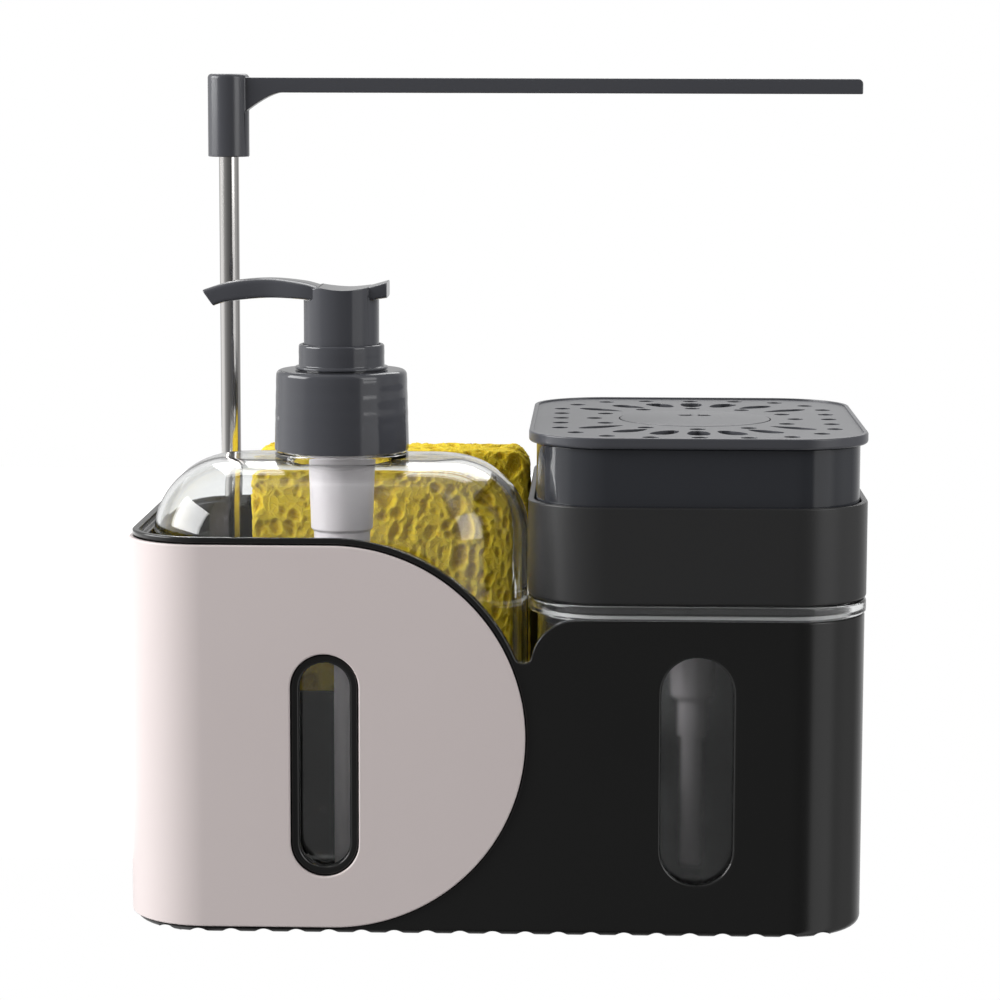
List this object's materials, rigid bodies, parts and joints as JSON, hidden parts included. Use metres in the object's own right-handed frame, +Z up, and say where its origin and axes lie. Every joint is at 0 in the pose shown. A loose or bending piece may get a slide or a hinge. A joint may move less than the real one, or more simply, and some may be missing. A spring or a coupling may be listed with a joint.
{
  "type": "soap dispenser caddy",
  "caption": "Kitchen soap caddy: lotion pump bottle, press-plate bottle, standing sponge and swinging towel arm in a two-bay black holder with a pale D-shaped side panel.",
  "frame": {"origin": "middle of the whole object's outline, on the surface that it stands on", "axes": "+X to the right, +Y to the back, +Z up"},
  "size_m": [0.21, 0.117, 0.2383],
  "materials": {
    "black_satin": "satin",
    "warm_white_satin": "satin",
    "slate_plastic": "moulded",
    "black_gloss": "glossy",
    "clear_plastic": "clear",
    "milky_plastic": "translucent white",
    "polished_steel": "polished",
    "spring_steel": "drawn wire",
    "seal_rubber": "moulded",
    "sponge_yellow": "open cellulose foam"
  },
  "bodies": {
    "caddy": {"caddy_body": "black_satin", "side_panel": "warm_white_satin", "steel_pole": "polished_steel", "pole_bush": "milky_plastic"},
    "arm": {"towel_arm": "slate_plastic"},
    "left_bottle": {"left_bottle": "clear_plastic"},
    "pump": {"neck_gasket": "seal_rubber", "guide_ring": "slate_plastic", "pump_housing": "milky_plastic", "inlet_ball": "polished_steel", "dip_tube": "milky_plastic", "pump_spring": "spring_steel"},
    "closure": {"pump_closure": "slate_plastic"},
    "plunger": {"piston_rod": "milky_plastic", "outlet_ball": "polished_steel", "piston_seal": "seal_rubber"},
    "pump_head": {"pump_head": "slate_plastic"},
    "right_bottle": {"right_bottle": "clear_plastic"},
    "plate_pump": {"drip_collar": "black_satin", "collar_seal": "seal_rubber", "plate_pump_housing": "milky_plastic", "plate_pump_guide": "milky_plastic", "plate_pump_nut": "milky_plastic", "plate_inlet_ball": "polished_steel", "plate_dip_tube": "milky_plastic", "plate_pump_spring": "spring_steel"},
    "press_top": {"press_plate": "slate_plastic", "press_skirt": "black_gloss", "outlet_dome": "slate_plastic", "press_stem": "milky_plastic", "press_piston": "seal_rubber"},
    "sponge": {"sponge": "sponge_yellow"}
  },
  "joints": [
    {"name": "arm_swing", "type": "hinge", "parent": "caddy", "child": "arm", "pos_m": [-0.08505, 0.0415, 0.22], "axis": [0, 0, 1], "continuous": true},
    {"name": "left_bottle_lift", "type": "slide", "parent": "caddy", "child": "left_bottle", "axis": [0, 0, 1], "range_m": [0, 0.11]},
    {"name": "pump_lift", "type": "slide", "parent": "left_bottle", "child": "pump", "axis": [0, 0, 1], "range_m": [0, 0.14]},
    {"name": "closure_turn", "type": "hinge", "parent": "pump", "child": "closure", "pos_m": [-0.04615, -0.0202, 0.14], "axis": [0, 0, 1], "continuous": true},
    {"name": "pump_press", "type": "slide", "parent": "pump", "child": "plunger", "axis": [0, 0, -1], "range_m": [0, 0.012], "stiffness_N_per_m": 700, "springref_m": -0.006, "deforming": ["pump_spring"]},
    {"name": "head_turn", "type": "hinge", "parent": "plunger", "child": "pump_head", "pos_m": [-0.04615, -0.0202, 0.17], "axis": [0, 0, 1], "continuous": true},
    {"name": "right_bottle_lift", "type": "slide", "parent": "caddy", "child": "right_bottle", "axis": [0, 0, 1], "range_m": [0, 0.09]},
    {"name": "plate_pump_lift", "type": "slide", "parent": "right_bottle", "child": "plate_pump", "axis": [0, 0, 1], "range_m": [0, 0.088]},
    {"name": "plate_press", "type": "slide", "parent": "plate_pump", "child": "press_top", "axis": [0, 0, -1], "range_m": [0, 0.012], "stiffness_N_per_m": 900, "springref_m": -0.006, "deforming": ["plate_pump_spring"]},
    {"name": "sponge_lift", "type": "slide", "parent": "caddy", "child": "sponge", "axis": [0, 0, 1], "range_m": [0, 0.1]}
  ]
}
